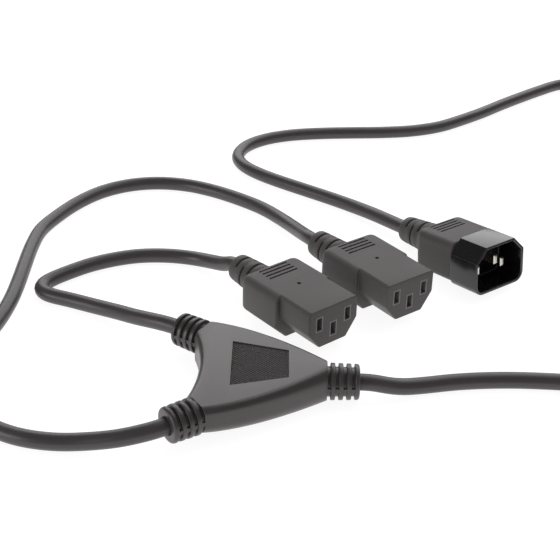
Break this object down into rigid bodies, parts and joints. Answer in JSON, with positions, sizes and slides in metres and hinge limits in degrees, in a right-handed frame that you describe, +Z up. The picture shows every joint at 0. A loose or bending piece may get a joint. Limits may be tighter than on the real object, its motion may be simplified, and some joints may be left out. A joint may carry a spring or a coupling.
{
  "type": "power cord splitter",
  "caption": "Mains splitter lead: an appliance plug on a trunk cord, a moulded Y body and two appliance sockets on branch cords, laid out flat.",
  "frame": {"origin": "middle of the Y body's bounding box, on the surface that it lies on", "axes": "+X along the Y body towards the trunk cord, +Z up"},
  "size_m": [0.3232, 0.3616, 0.0232],
  "materials": {
    "overmould": "satin charcoal moulding",
    "shroud": "glossy black",
    "inner_plastic": "matt grey",
    "contact_brass": "stamped brass",
    "pin_nickel": "nickel plated",
    "copper": "plain copper",
    "cord_jacket": "satin black jacket"
  },
  "bodies": {
    "root": {"splitter_body": "overmould", "splice_carrier": "inner_plastic", "splice_crimp_line": "copper", "splice_crimp_earth": "copper", "splice_crimp_neutral": "copper", "socket_a_body": "overmould", "socket_a_contact_carrier": "inner_plastic", "socket_a_contact_line": "contact_brass", "socket_a_contact_earth": "contact_brass", "socket_a_contact_neutral": "contact_brass", "socket_b_body": "overmould", "socket_b_contact_carrier": "inner_plastic", "socket_b_contact_line": "contact_brass", "socket_b_contact_earth": "contact_brass", "socket_b_contact_neutral": "contact_brass", "plug_grip": "overmould", "plug_shroud": "shroud", "plug_pin_line": "pin_nickel", "plug_pin_earth": "pin_nickel", "plug_pin_neutral": "pin_nickel", "cord_branch_a": "cord_jacket", "cord_branch_b": "cord_jacket", "cord_trunk_front": "cord_jacket", "cord_trunk_coil": "cord_jacket", "cord_trunk_back": "cord_jacket"}
  },
  "joints": []
}
